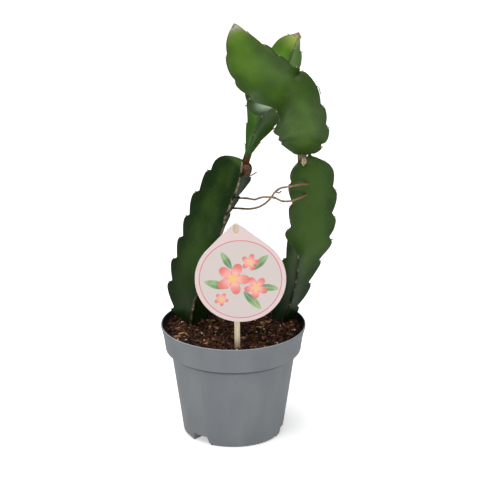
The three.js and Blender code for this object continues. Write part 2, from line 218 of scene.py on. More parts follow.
def pot_line(inset):
    collar_foot = POT_HEIGHT - COLLAR_HEIGHT + inset
    above_pockets = 2 * POCKET_HEIGHT + inset
    rising = (above_pockets - inset - BASE_ROUND) / (collar_foot - inset - BASE_ROUND)
    return [
        (0, inset),
        (BASE_RADIUS - BASE_ROUND - inset, inset),
        (BASE_RADIUS - inset, inset + BASE_ROUND),
        (BASE_RADIUS + (BODY_TOP_RADIUS - BASE_RADIUS) * rising - inset, above_pockets),
        (BODY_TOP_RADIUS - inset, collar_foot),
        (COLLAR_FOOT_RADIUS - inset, collar_foot + SHELF_RISE),
        (RIM_RADIUS - LIP_FLARE - inset, POT_HEIGHT - LIP_HEIGHT),
        (RIM_RADIUS - inset, POT_HEIGHT - LIP_EDGE),
        (RIM_RADIUS - inset, POT_HEIGHT),
    ]


def pocket(widths, height, reaches, inner_radius, foot, turn):
    """A trapezoid block let in from the base's edge, with its widths and reaches at foot and roof."""
    shape = bmesh.new()
    bmesh.ops.create_cube(shape, size=1)
    for corner in shape.verts:
        level = 1 if corner.co.z > 0 else 0
        reach = reaches[level] if corner.co.y < 0 else inner_radius
        corner.co = (corner.co.x * widths[level], -reach, (foot, height)[level])
    bmesh.ops.rotate(shape, matrix=Matrix.Rotation(turn, 3, "Z"), verts=shape.verts)
    return add_piece("pocket", shape)


def pocket_shell(turn):
    """The walls and roof round a pocket, ending inside the pot's own wall."""
    widths = [width + 2 * POT_WALL for width in POCKET_WIDTHS]
    reaches = (BASE_RADIUS - BASE_ROUND, BASE_RADIUS - SHELL_INSET)
    inner_radius = POCKET_INNER_RADIUS - POT_WALL
    return pocket(widths, POCKET_HEIGHT + POT_WALL, reaches, inner_radius, SHELL_INSET, turn)


def drain(turn):
    shape = bmesh.new()
    bmesh.ops.create_cone(
        shape,
        cap_ends=True,
        segments=24,
        radius1=DRAIN_RADIUS,
        radius2=DRAIN_RADIUS,
        depth=2 * POCKET_HEIGHT,
    )
    bmesh.ops.translate(shape, vec=(0, -DRAIN_CENTRE_RADIUS, POCKET_HEIGHT), verts=shape.verts)
    bmesh.ops.rotate(shape, matrix=Matrix.Rotation(turn, 3, "Z"), verts=shape.verts)
    return add_piece("drain", shape)


def grey_plastic():
    """Satin recycled plastic: faint cloudy flow marks, fine dark flecks and an orange-peel skin. A painted
    highlight pales the top of the lip, and painted shade darkens a band just under the collar."""
    material, shader, place = new_material("grey_plastic")
    shader.inputs["Specular IOR Level"].default_value = 0
    shader.inputs["Coat Weight"].default_value = 0.35
    shader.inputs["Coat Roughness"].default_value = 0.45
    clouds = mottle(stretched(place, 1, 1, 0.35), 22, 4)
    flecks = rise(mottle(place, 0.7, 1), 0.66, 0.74)
    colour = mixed(rise(clouds, 0.35, 0.75), POT_GREY, POT_GREY_WORN)
    colour = mixed(flecks * 0.25, colour, POT_BLACK)
    z = place.node("ShaderNodeSeparateXYZ", {}, {0: place}, "Z")
    # Painted highlight: the top edge of the lip is painted paler.
    lip = rise(z, POT_HEIGHT - 0.7, POT_HEIGHT - 0.2)
    colour = mixed(lip * (0.35 + clouds * 0.5), colour, POT_LIP_HIGHLIGHT)
    # Painted shade: a dark band on the body just under the collar, where its shadow falls.
    corner = z - (POT_HEIGHT - COLLAR_HEIGHT)
    painted_collar_shade = rise(corner, -3.4, -1.8) * (1 - rise(corner, 0.2, 0.7))
    colour = mixed(painted_collar_shade * 0.55, colour, POT_BLACK)
    peel = mottle(place, 0.9, 2) + mottle(stretched(place, 1, 1, 0.08), 1.6, 2) * 0.6
    coat(shader, colour, 0.46 + clouds * 0.16, peel, 0.05)
    return material


def black_plastic():
    material, shader, place = new_material("black_plastic")
    dust = rise(mottle(place, 3, 5), 0.5, 0.8)
    colour = mixed(dust * 0.5, POT_BLACK, POT_DUST)
    coat(shader, colour, 0.5 + dust * 0.3, mottle(place, 1, 3), 0.05)
    return material


pot_outside = pot_line(0)
pot_inside = pot_line(POT_WALL)[:-1] + [(RIM_RADIUS - POT_WALL, POT_HEIGHT)]
pot_shape = spun(pot_outside + pot_inside[::-1], CORNER_ROUNDS)
for face in pot_shape.faces:
    middle = face.calc_center_median()
    inwards = face.normal.dot(middle * Vector((1, 1, 0))) < -0.3 * middle.xy.length
    floor_side = face.normal.z > 0.5 and middle.z < POT_HEIGHT - 3
    face.material_index = 1 if inwards or floor_side else 0
pot = add_piece("nursery_pot", pot_shape, grey_plastic(), black_plastic())
pocket_turns = [POCKET_TURN + i * math.tau / POCKET_COUNT for i in range(POCKET_COUNT)]
for turn in pocket_turns:
    reaches = (RIM_RADIUS, RIM_RADIUS)
    opening = pocket(POCKET_WIDTHS, POCKET_HEIGHT, reaches, POCKET_INNER_RADIUS, -1, turn)
    combine(pot, pocket_shell(turn), "UNION")
    combine(pot, opening, "DIFFERENCE")
    combine(pot, drain(turn), "DIFFERENCE")
pot.data.set_sharp_from_angle(angle=math.radians(50))
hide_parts("pot")
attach(pot, "root")

# The soil is a coarse peat mix, heaped a little unevenly to just under the rim. Dark crumbs lie on it with
# bark chips, pale root fibres and a few grains of perlite, all strewn at random.
SOIL_LEVEL = 91
SOIL_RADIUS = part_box("soil")[1].x / MM
SOIL_SIDE = [(56.4, 87), (54.4, 74.6), (50, 74.1), (39.8, 4), (37.4, 1.6), (0, 1.6)]
HEAP_WIDTH = 26
HEAP_HEIGHT = 1.6
LUMP_WIDTH = 5
LUMP_HEIGHT = 1.1
EDGE_WIDTH = 5
EDGE_DROP = 1.2
POCKET_ROOM = 0.4
SOIL_RINGS = 58
SOIL_SIDES = 120
CRUMBS = 2600
CHIPS = 230
FIBRES = 900
PERLITE = 45
PEAT_DARK = (0.008, 0.0045, 0.0032, 1)
PEAT_RED = (0.07, 0.025, 0.014, 1)
BARK_DARK = (0.12, 0.05, 0.022, 1)
BARK_PALE = (0.42, 0.24, 0.12, 1)
FIBRE_DARK = (0.07, 0.026, 0.014, 1)
FIBRE_PALE = (0.36, 0.2, 0.11, 1)
PERLITE_WHITE = (0.78, 0.72, 0.6, 1)
PERLITE_STAINED = (0.45, 0.36, 0.26, 1)


def soil_height(x, y):
    """Height of the soil's top: low heaps, with lumps of a few millimetres on them."""
    heaps = noise.noise(Vector((x / HEAP_WIDTH, y / HEAP_WIDTH, 3)))
    lumps = noise.fractal(Vector((x / LUMP_WIDTH, y / LUMP_WIDTH, 7)), 0.8, 2.0, 4)
    edge = max(0, math.hypot(x, y) - SOIL_RADIUS + EDGE_WIDTH) / EDGE_WIDTH
    return SOIL_LEVEL + HEAP_HEIGHT * heaps + LUMP_HEIGHT * lumps - EDGE_DROP * edge


def rolled(columns, rows, place_of):
    """A sheet of quads whose corners go to place_of(column, row), with its seam and poles closed."""
    shape = bmesh.new()
    bmesh.ops.create_grid(shape, x_segments=columns, y_segments=rows, size=0.5)
    for corner in shape.verts:
        column = round((corner.co.x + 0.5) * columns) % columns
        corner.co = place_of(column, round((corner.co.y + 0.5) * rows))
    bmesh.ops.remove_doubles(shape, verts=shape.verts, dist=1e-4)
    bmesh.ops.recalc_face_normals(shape, faces=shape.faces)
    return shape


def soil_place(column, row):
    turn = math.tau * column / SOIL_SIDES
    if row > SOIL_RINGS:
        radius, height = SOIL_SIDE[row - SOIL_RINGS - 1]
        return radius * math.cos(turn), radius * math.sin(turn), height
    radius = SOIL_RADIUS * row / SOIL_RINGS
    x, y = radius * math.cos(turn), radius * math.sin(turn)
    return x, y, soil_height(x, y)


def soil_recess(turn):
    """The room that a pocket's walls and roof take up in the soil."""
    grown = POT_WALL + POCKET_ROOM
    widths = [width + 2 * grown for width in POCKET_WIDTHS]
    reaches = (RIM_RADIUS, RIM_RADIUS)
    return pocket(widths, POCKET_HEIGHT + grown, reaches, POCKET_INNER_RADIUS - grown, -1, turn)


def earth(name, dark, pale, contrast):
    """Fibrous earth that turns from dark to pale with each crumb's own tone."""
    material, shader, place = new_material(name)
    shader.inputs["Specular IOR Level"].default_value = 0.12
    tone = place.node("ShaderNodeAttribute", {"attribute_name": "tone"}, {}, "Fac")
    streaks = mottle(stretched(place, 1, 0.4, 0.7), 1.1, 5, 0.6)
    colour = mixed(rise(tone + (streaks - 0.5) * contrast, 0, 1), dark, pale)
    coat(shader, colour, 0.82 + streaks * 0.15, streaks, 0.35)
    return material


def strew(pile, shape, matrix, tone):
    """Adds a copy of a small mesh to a pile, with a tone of its own."""
    copy = shape.copy()
    copy.transform(matrix)
    copy.attributes.new("tone", "FLOAT", "POINT").data.foreach_set("value", [tone] * len(copy.vertices))
    pile.from_mesh(copy)
    bpy.data.meshes.remove(copy)


def as_mesh(shape):
    mesh = bpy.data.meshes.new("strewn")
    shape.to_mesh(mesh)
    shape.free()
    return mesh


def crumb_shape(chance, fineness):
    """A lump of unit radius with a rough outline."""
    shape = bmesh.new()
    bmesh.ops.create_icosphere(shape, subdivisions=fineness, radius=1)
    for corner in shape.verts:
        corner.co *= chance.uniform(0.65, 1.2)
    return as_mesh(shape)


def chip_shape(chance):
    """A flake of bark, two long and one wide, with snapped ends."""
    shape = bmesh.new()
    bmesh.ops.create_cube(shape, size=2)
    bmesh.ops.subdivide_edges(shape, edges=shape.edges, cuts=1, use_grid_fill=True)
    for corner in shape.verts:
        wobble = Vector((chance.uniform(-0.4, 0.4), chance.uniform(-0.3, 0.3), chance.uniform(-0.5, 0.5)))
        corner.co = (corner.co + wobble) * Vector((1, 0.5, 0.2))
    return as_mesh(shape)


def fibre_shape(chance):
    """A bent thread, two long and hair thin."""
    bend, sway = chance.uniform(-0.5, 0.5), chance.uniform(-0.6, 0.6)

    def place_of(column, row):
        along = row / 4 - 1
        turn = math.tau * column / 4
        thick = 0.05 * (1 - 0.5 * abs(along)) if 0 < row < 8 else 0
        return along, sway * along**2 + thick * math.cos(turn), bend * along**3 + thick * math.sin(turn)

    return as_mesh(rolled(4, 8, place_of))


def spread(name, chance, count, shapes, sizes, lift, tilt, material):
    """Strews a number of small pieces over the soil, resting on it at random angles."""
    pile = bmesh.new()
    for _ in range(count):
        size = sizes[0] + (sizes[1] - sizes[0]) * chance.random() ** 2
        radius = (SOIL_RADIUS - 0.8 - 1.3 * size) * math.sqrt(chance.random())
        turn = chance.uniform(0, math.tau)
        x, y = radius * math.cos(turn), radius * math.sin(turn)
        spot = Matrix.Translation((x, y, soil_height(x, y) + lift * size))
        lean = Matrix.Rotation(chance.uniform(-tilt, tilt), 4, "X")
        lean = lean @ Matrix.Rotation(chance.uniform(-tilt, tilt), 4, "Y")
        yaw = Matrix.Rotation(chance.uniform(0, math.tau), 4, "Z")
        strew(pile, chance.choice(shapes), spot @ lean @ yaw @ Matrix.Scale(size, 4), chance.random())
    piece = add_piece(name, pile, material)
    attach(piece, "root")


soil_shape = rolled(SOIL_SIDES, SOIL_RINGS + len(SOIL_SIDE), soil_place)
soil = add_piece("soil_bed", soil_shape, earth("peat", PEAT_DARK, PEAT_RED, 1.2))
for turn in pocket_turns:
    combine(soil, soil_recess(turn), "DIFFERENCE")
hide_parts("soil")
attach(soil, "root")
chance = random.Random(11)
peat = earth("peat_crumb", PEAT_DARK, PEAT_RED, 0.9)
crumbs = [crumb_shape(chance, 1) for _ in range(9)]
spread("peat_crumbs", chance, CRUMBS, crumbs, (0.5, 2.4), 0.2, 1.5, peat)
chips = [chip_shape(chance) for _ in range(8)]
bark = earth("bark", BARK_DARK, BARK_PALE, 0.5)
spread("bark_chips", chance, CHIPS, chips, (0.8, 2.8), 0.3, 0.7, bark)
fibres = [fibre_shape(chance) for _ in range(8)]
fibre = earth("fibre", FIBRE_DARK, FIBRE_PALE, 0.4)
spread("peat_fibres", chance, FIBRES, fibres, (1.2, 5), 0.25, 0.5, fibre)
grains = [crumb_shape(chance, 2) for _ in range(5)]
perlite = earth("perlite_grain", PERLITE_STAINED, PERLITE_WHITE, 0.3)
spread("perlite", chance, PERLITE, grains, (0.5, 1.2), 0.5, 1.5, perlite)

# The cuttings are rooted lengths of a climbing cactus, and a young shoot grew from the top of each one.
# Three ribs with hollow faces between them run along a stem, their edges cut into lobes below the areoles.
RIBS = 3
RIB_SIDES = 26
EDGE_SIDES = 3
ROW_LENGTH = 0.9
LOBE_PEAK = 0.77
LOBE_REACH = 9
MEAN_LOBE = 0.6
AREOLE_AT = 0.9
SPINELESS_TIP = 0.2
FACE_INSET = 4
HORN_BROWN = (0.02, 0.022, 0.009, 1)
FOOT_DARK_GREEN = (0.006, 0.013, 0.004, 1)
PAINTED_HIGHLIGHT_GREY = (0.44, 0.58, 0.4, 1)
FRONT = Vector((0, -1, 0))
STEPS_PER_SPAN = 24


def between(stops, share):
    """The value at a share of the way along evenly spaced stops."""
    place = min(max(share, 0), 1) * (len(stops) - 1)
    stop = min(int(place), len(stops) - 2)
    return stops[stop] + (stops[stop + 1] - stops[stop]) * (place - stop)


def rounded(share, power):
    return (1 - (1 - min(max(share, 0), 1)) ** power) ** (1 / power)


class Line:
    """A smooth line through points, measured by the distance along it."""

    def __init__(self, points):
        ends = [2 * points[0] - points[1], *points, 2 * points[-1] - points[-2]]
        self.places = [points[0]]
        self.distances = [0]
        for a, b, c, d in zip(ends, ends[1:], ends[2:], ends[3:]):
            for step in range(1, STEPS_PER_SPAN + 1):
                t = step / STEPS_PER_SPAN
                bend = (2 * a - 5 * b + 4 * c - d) * t * t + (3 * b - a - 3 * c + d) * t**3
                place = b + ((c - a) * t + bend) / 2
                self.distances.append(self.distances[-1] + (place - self.places[-1]).length)
                self.places.append(place)
        self.length = self.distances[-1]

    def at(self, distance):
        distance = min(max(distance, 0), self.length)
        last = len(self.distances) - 2
        step = min(last, next(i for i, far in enumerate(self.distances[1:]) if far >= distance - 1e-9))
        share = (distance - self.distances[step]) / (self.distances[step + 1] - self.distances[step])
        return self.places[step].lerp(self.places[step + 1], share)

    def axes(self, distance):
        """The place at a distance, and the directions along the line, to the front and to the right."""
        along = (self.at(distance + 1) - self.at(distance - 1)).normalized()
        front = (FRONT - along * FRONT.dot(along)).normalized()
        return self.at(distance), along, front, along.cross(front)


class RibbedStem:
    """A stem with three ribs along a line. Angles are from the front, positive to the right."""

    def __init__(self, points, **form):
        self.line = Line([Vector(point) for point in points])
        self.length = self.line.length
        self.__dict__.update(form)

    def rib_direction(self, distance, rib):
        _, _, front, right = self.line.axes(distance)
        angle = between(self.rib_angles, distance / self.length) + rib * 360 / RIBS
        for bent, middle, reach, turn, _ in self.bends:
            if bent == rib:
                angle += turn * math.exp(-(((distance - middle) / reach) ** 2))
        angle = math.radians(angle)
        return front * math.cos(angle) + right * math.sin(angle)

    def fullness(self, distance):
        swelling = rounded((distance - self.neck_length) / self.foot_length, self.foot_power)
        foot = self.neck_share + (1 - self.neck_share) * swelling
        return foot * rounded((self.length - distance) / self.tip_length, self.tip_power)

    def lobe(self, distance, rib):
        """How far the rib's edge stands out, with lobes of uneven depth that lean towards the tip."""
        if distance < self.plain_length:
            return 0
        lobes = (distance - self.plain_length) / self.pitch + self.lobe_shift + rib / RIBS
        count, rise_share = divmod(lobes, 1)
        depth = 1 + 0.3 * noise.noise(Vector((count * 3.7, rib * 5.1, self.length)))
        if rise_share < LOBE_PEAK:
            return depth * math.sin(math.pi / 2 * rise_share / LOBE_PEAK)
        return depth * math.cos(math.pi / 2 * (rise_share - LOBE_PEAK) / (1 - LOBE_PEAK))

    def even_radius(self, distance, rib):
        radius = between(self.rib_radii, distance / self.length)
        radius = self.rib_shares[rib] * self.fullness(distance) * radius
        for bent, middle, reach, _, swell in self.bends:
            if bent == rib:
                radius += swell * math.exp(-(((distance - middle) / reach) ** 2))
        return radius

    def rib_radius(self, distance, rib):
        depth = self.lobe_depth * (self.lobe(distance, rib) - MEAN_LOBE)
        return self.even_radius(distance, rib) + self.fullness(distance) * depth

    def crest(self, distance, rib):
        return self.line.at(distance) + self.rib_direction(distance, rib) * self.rib_radius(distance, rib)

    def ring(self, distance):
        """Points round a section, each with its distance from the nearest rib's edge."""
        centre, along, _, _ = self.line.axes(distance)
        half = self.edge_width * 0.5 * min(1, 0.25 + self.fullness(distance))
        tips, hubs, sides, lifts = [], [], [], []
        for rib in range(RIBS):
            out = self.rib_direction(distance, rib)
            sway = 0.7 * self.fullness(distance) * noise.noise(Vector((distance / 15, rib * 9, self.length)))
            across = along.cross(out)
            hub = centre + out * (self.even_radius(distance, rib) - half) + across * sway
            tips.append(hub + out * half)
            hubs.append((hub, out * half))
            sides.append(across * half)
            lifts.append(out * (self.rib_radius(distance, rib) - self.even_radius(distance, rib)))
        points = []
        for rib in range(RIBS):
            after = (rib + 1) % RIBS
            start, end = hubs[rib][0] + sides[rib], hubs[after][0] - sides[after]
            reach = self.even_radius(distance, rib) + self.even_radius(distance, after)
            valley = centre + (start + end - 2 * centre).normalized() * self.valley_share * reach * 0.5
            pull = 2 * valley - (start + end) / 2
            for side in range(RIB_SIDES):
                if side < EDGE_SIDES:
                    turn = math.pi / 2 * side / EDGE_SIDES
                    point = hubs[rib][0] + hubs[rib][1] * math.cos(turn) + sides[rib] * math.sin(turn)
                elif side > RIB_SIDES - EDGE_SIDES:
                    turn = math.pi / 2 * (RIB_SIDES - side) / EDGE_SIDES
                    point = hubs[after][0] + hubs[after][1] * math.cos(turn) - sides[after] * math.sin(turn)
                else:
                    t = (side - EDGE_SIDES) / (RIB_SIDES - 2 * EDGE_SIDES)
                    point = start * (1 - t) ** 2 + pull * 2 * t * (1 - t) + end * t * t
                    bulge = 0.45 * noise.noise(point / 11) * 4 * t * (1 - t) * self.fullness(distance)
                    point = point + (point - centre).normalized() * bulge
                from_edge, nearest = min(((point - tips[end]).length, end) for end in (rib, after))
                point = point + lifts[nearest] * max(0, 1 - from_edge / LOBE_REACH) ** 2
                points.append((point, from_edge, self.cork[nearest]))
        return points

    def shape(self):
        """The stem's skin. Each corner keeps its distance from the rib's edge, the foot and the tip."""
        rows = round(self.length / ROW_LENGTH)
        reach = self.length - 0.01 * self.tip_length
        rings = [self.ring(reach * i / (rows - 2)) for i in range(rows - 1)]
        facts = {}

        def place_of(column, row):
            if row in (0, rows):
                return self.line.at(0 if row == 0 else self.length)
            return rings[row - 1][column][0]

        skin = rolled(RIBS * RIB_SIDES, rows, place_of)
        for row, ring in enumerate(rings):
            for point, from_edge, cork in ring:
                facts[tuple(round(v, 2) for v in point)] = (from_edge, reach * row / (rows - 2), cork)
        edge_layer = skin.verts.layers.float.new("from_edge")
        cork_layer = skin.verts.layers.float.new("cork")
        foot_layer = skin.verts.layers.float.new("from_foot")
        tip_layer = skin.verts.layers.float.new("to_tip")
        for corner in skin.verts:
            at_tip = (corner.co - self.line.places[-1]).length < 1
            default = (0, self.length if at_tip else 0, 0)
            from_edge, from_foot, cork = facts.get(tuple(round(v, 2) for v in corner.co), default)
            corner[edge_layer] = from_edge
            corner[cork_layer] = cork
            corner[foot_layer] = from_foot
            corner[tip_layer] = self.length - from_foot
        inner = [corner for corner in skin.verts if corner[edge_layer] > FACE_INSET]
        for _ in range(self.smoothings):
            bmesh.ops.smooth_vert(
                skin, verts=inner, factor=0.5, use_axis_x=True, use_axis_y=True, use_axis_z=True
            )
        return skin

    def areoles(self):
        """Distance and rib of each areole from the foot up."""
        places = []
        for rib in range(RIBS):
            distance = self.plain_length + self.pitch * (AREOLE_AT - self.lobe_shift - rib / RIBS)
            while distance < self.length - self.tip_length * SPINELESS_TIP:
                if distance > self.plain_length:
                    places.append((distance, rib))
                distance += self.pitch
        return places


def stem_skin(
    name, deep, fresh, young, cork, wood, gloss, horn, specks, ages, foot_length, tip_length, dry_length,
    foot_darkening=0, painted_highlight=None,
):
    """Waxy cactus skin: cloudy greens between two ages along the stem, pale flecks, a dark horny edge along
    the ribs, cork in patches on that edge, wood round the foot and a dry tip. A stem can be made darker
    towards its foot, and a painted highlight is a place, reach and strength of a pale painted patch."""
    material, shader, place = new_material(name)
    shader.inputs["Specular IOR Level"].default_value = 0
    shader.inputs["Coat Roughness"].default_value = 0.36
    from_edge = place.node("ShaderNodeAttribute", {"attribute_name": "from_edge"}, {}, "Fac")
    from_foot = place.node("ShaderNodeAttribute", {"attribute_name": "from_foot"}, {}, "Fac")
    to_tip = place.node("ShaderNodeAttribute", {"attribute_name": "to_tip"}, {}, "Fac")
    corky = place.node("ShaderNodeAttribute", {"attribute_name": "cork"}, {}, "Fac")
    clouds = mottle(place, 17, 3)
    fine = mottle(place, 2.2, 4)
    pores = mottle(place, 0.55, 2)
    hollow = rise(from_edge, 2, 15)
    age = rise(from_foot, *ages)
    colour = mixed(rise(clouds * 0.7 + hollow * 0.3 + age * 0.35, 0.35, 1.05), deep, fresh)
    colour = mixed(rise(fine, 0.5, 0.8) * specks, colour, young)
    colour = mixed((1 - rise(to_tip, 0, tip_length)) * 0.8, colour, young)
    flecks = rise(mottle(place, 1.3, 1), 0.7, 0.76) * rise(mottle(place, 9, 2), 0.45, 0.6)
    colour = mixed(flecks * specks, colour, cork)
    # The skin is made darker towards the foot.
    colour = mixed((1 - rise(from_foot, 40, 100)) * foot_darkening, colour, FOOT_DARK_GREEN)
    # Painted highlight: a pale grey-green patch painted round a given place on the skin.
    if painted_highlight:
        middle, reach, strength = painted_highlight
        ends = {0: place, 1: middle}
        away = place.node("ShaderNodeVectorMath", {"operation": "DISTANCE"}, ends, "Value")
        highlight_mask = 1 - rise(away + (clouds - 0.5) * 6, reach * 0.3, reach)
        colour = mixed(highlight_mask * strength, colour, PAINTED_HIGHLIGHT_GREY)
    horny = 1 - rise(from_edge + (fine - 0.5) * 0.8, 0.5, 1.7)
    colour = mixed(horny * horn, colour, HORN_BROWN)
    worn = rise(mottle(place, 6, 4) + corky, 0.8, 1.05) * (1 - rise(from_edge, 0.6, 1.8))
    woody = 1 - rise(from_foot + (fine - 0.5) * 8, foot_length * 0.6, foot_length)
    dry = 1 - rise(to_tip + (fine - 0.5) * dry_length, dry_length * 0.4, dry_length)
    dark_cork = tuple(share * 0.4 for share in cork[:3]) + (1,)
    grain = rise(fine, 0.3, 0.7)
    colour = mixed(worn.math("MAXIMUM", worn, dry) * 0.9, colour, mixed(grain, dark_cork, cork))
    dark_wood = tuple(share * 0.4 for share in wood[:3]) + (1,)
    colour = mixed(woody * 0.95, colour, mixed(grain, dark_wood, wood))
    bark = worn.math("MAXIMUM", worn.math("MAXIMUM", worn, woody), dry)
    wax = 0.38 + clouds * 0.14 + (1 - rise(from_foot, 20, 90)) * 0.25 + bark * 0.4 + (pores - 0.5) * 0.12
    sheen = (1 - bark) * (0.7 + clouds * 0.6) * gloss
    shader.id_data.links.new(sheen.socket, shader.inputs["Coat Weight"])
    relief = pores * 0.25 + fine * 0.5 + bark * mottle(stretched(place, 1, 1, 0.5), 1.2, 5) * 1.4
    coat(shader, colour, wax, relief, 0.22)
    return material


def add_stem(name, stem, material, node=None):
    piece = add_piece(name, stem.shape(), material)
    if node:
        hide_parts(node)
    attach(piece, "root")


left_cutting = RibbedStem(
    [(-32, 14.5, 72), (-35, 16, 91), (-33.9, 17.5, 115.5), (-25.3, 17.5, 151.4), (-14.1, 16, 189.3),
     (-4, 15, 211), (7, 14, 233.5)],
    rib_angles=[-4, 2, 12, 23, 17, 8],
    rib_radii=[12, 18, 23.2, 23.4, 23, 23, 22.5, 22, 21],
    rib_shares=[1, 0.97, 0.94],
    cork=[0.38, 0.1, -0.1],
    valley_share=0.44,
    edge_width=2.4,
    pitch=20,
    lobe_depth=4,
    lobe_shift=0,
    plain_length=22,
    neck_share=0.6,
    neck_length=0,
    foot_length=12,
    foot_power=2,
    tip_length=20,
    tip_power=2.1,
    bends=[],
    smoothings=0,
)
right_cutting = RibbedStem(
    [(38, 17, 72), (40.3, 17, 90), (49.7, 16.5, 118), (57, 16, 145.7), (62.6, 15.5, 167.1),
     (65.7, 14.5, 193.7), (65.9, 13.5, 215.9), (62.1, 13, 237)],
    rib_angles=[0, 0, -4, -14, -56, -62, -62],
    rib_radii=[11, 12.5, 16, 20, 22, 22.5, 22],
    rib_shares=[1, 0.9, 0.95],
    cork=[0.32, -0.1, 0.1],
    valley_share=0.4,
    edge_width=2.4,
    pitch=22,
    lobe_depth=4,
    lobe_shift=0.1,
    plain_length=22,
    neck_share=0.6,
    neck_length=0,
    foot_length=12,
    foot_power=2,
    tip_length=17,
    tip_power=2,
    bends=[(0, 98, 9, -24, 1)],
    smoothings=6,
)
left_shoot = RibbedStem(
    [(9, 13, 227), (11.1, 14, 234.7), (16.2, 16.5, 250.3), (24.2, 22, 268.3), (34.2, 29, 291.7),
     (43.6, 32, 316), (47.1, 32.5, 324.7), (53.2, 33, 335)],
    rib_angles=[-12, -10, 0, 12],
    rib_radii=[18, 18, 20, 19.5, 17.5, 16],
    rib_shares=[0.95, 1, 1],
    cork=[0.2, 0, 0],
    valley_share=0.36,
    edge_width=1.6,
    pitch=16,
    lobe_depth=1.8,
    lobe_shift=0,
    plain_length=14,
    neck_share=0.2,
    neck_length=13,
    foot_length=42,
    foot_power=1,
    tip_length=26,
    tip_power=1.4,
    bends=[],
    smoothings=0,
)
right_shoot = RibbedStem(
    [(56.5, 12, 228), (56.3, 11, 240), (57, 5.5, 256), (55.9, -1, 269), (45.9, -11, 290), (34.9, -14, 300.1),
     (22.8, -17, 317.8), (12.5, -18, 330.6), (5.6, -18.5, 343.3), (0.8, -19, 359)],
    rib_angles=[-60, -60, -58, -56],
    rib_radii=[17, 19.5, 24.5, 26.5, 24.5, 22, 21],
    rib_shares=[1, 1, 0.7],
    cork=[0, 0, 0],
    valley_share=0.34,
    edge_width=1.6,
    pitch=17,
    lobe_depth=2.7,
    lobe_shift=0,
    plain_length=16,
    neck_share=0.26,
    neck_length=12,
    foot_length=25,
    foot_power=1.7,
    tip_length=34,
    tip_power=1.35,
    bends=[(0, 84, 14, 46, 0), (1, 84, 16, 40, 0), (2, 86, 18, 82, 9)],
    smoothings=120,
)
CORK = (0.42, 0.31, 0.2, 1)
DRY_SKIN = (0.5, 0.48, 0.26, 1)
PALE_SCALE = (0.44, 0.45, 0.31, 1)
RED_WOOD = (0.16, 0.065, 0.035, 1)
GREY_WOOD = (0.3, 0.24, 0.17, 1)
old_skin = stem_skin(
    "old_skin", (0.009, 0.023, 0.006, 1), (0.032, 0.065, 0.012, 1), (0.05, 0.09, 0.02, 1), CORK, GREY_WOOD,
    gloss=0.12, horn=0.6, specks=0.15, ages=(150, 20), foot_length=14, tip_length=6, dry_length=0.1,
    foot_darkening=0.6,
)
mid_skin = stem_skin(
    "mid_skin", (0.016, 0.04, 0.013, 1), (0.045, 0.092, 0.015, 1), (0.06, 0.11, 0.02, 1), CORK, GREY_WOOD,
    gloss=0.2, horn=0.28, specks=0.15, ages=(25, 95), foot_length=14, tip_length=6, dry_length=0.1,
    foot_darkening=0.6,
)
back_skin = stem_skin(
    "back_skin", (0.03, 0.085, 0.01, 1), (0.085, 0.19, 0.018, 1), (0.36, 0.42, 0.1, 1), DRY_SKIN, RED_WOOD,
    gloss=0.36, horn=0.4, specks=0.08, ages=(20, 90), foot_length=11, tip_length=17, dry_length=3,
)
fresh_skin = stem_skin(
    "fresh_skin", (0.028, 0.062, 0.009, 1), (0.072, 0.155, 0.013, 1), (0.19, 0.29, 0.05, 1), PALE_SCALE,
    GREY_WOOD,
    gloss=0.4, horn=0.45, specks=0.06, ages=(75, 150), foot_length=14, tip_length=18, dry_length=8,
    # Painted highlight on the shoot's lower left face.
    painted_highlight=((27, -18, 287), 14, 0.8),
)
add_stem("left_cutting", left_cutting, old_skin, "left_stem")
add_stem("left_shoot", left_shoot, back_skin)
add_stem("right_cutting", right_cutting, mid_skin, "right_stem")
add_stem("right_shoot", right_shoot, fresh_skin)

# The areoles are felted cushions on the lobes' upper shoulders, each with a few short stiff spines. They are
# pale on the young shoots and dark on the old stems.
SPINE_LENGTH = 2.4
SPINE_RADIUS = 0.28


def spine_shape():
    shape = bmesh.new()
    bmesh.ops.create_cone(shape, cap_ends=True, segments=6, radius1=1, radius2=0.08, depth=1)
    bmesh.ops.translate(shape, vec=(0, 0, 0.5), verts=shape.verts)
    return as_mesh(shape)


def horn(name, dark, pale):
    material, shader, place = new_material(name)
    tone = place.node("ShaderNodeAttribute", {"attribute_name": "tone"}, {}, "Fac")
    grain = mottle(place, 0.4, 3)
    coat(shader, mixed(rise(tone + grain * 0.4, 0.2, 1.2), dark, pale), 0.6 + grain * 0.3, grain, 0.1)
    return material


def add_areoles(name, chance, stem, cushion_radius, material):
    spine, cushion = spine_shape(), crumb_shape(chance, 2)
    pile = bmesh.new()
    for distance, rib in stem.areoles():
        _, along, _, _ = stem.line.axes(distance)
        out = stem.rib_direction(distance, rib)
        root = stem.crest(distance, rib)
        facing = (out + along * 0.6).to_track_quat("Z", "Y").to_matrix().to_4x4()
        flat = Matrix.Diagonal((cushion_radius, cushion_radius, 0.55 * cushion_radius, 1))
        strew(pile, cushion, Matrix.Translation(root) @ facing @ flat, chance.uniform(0.5, 1))
        for turn in range(chance.randint(2, 4)):
            lean = Matrix.Rotation(turn * 2.1 + chance.uniform(-0.4, 0.4), 4, "Z")
            lean = lean @ Matrix.Rotation(chance.uniform(0.35, 0.9), 4, "X")
            long = SPINE_LENGTH * chance.uniform(0.6, 1.1)
            thin = Matrix.Diagonal((SPINE_RADIUS, SPINE_RADIUS, long, 1))
            strew(pile, spine, Matrix.Translation(root) @ facing @ lean @ thin, chance.uniform(0, 0.5))
    piece = add_piece(name, pile, material)
    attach(piece, "root")


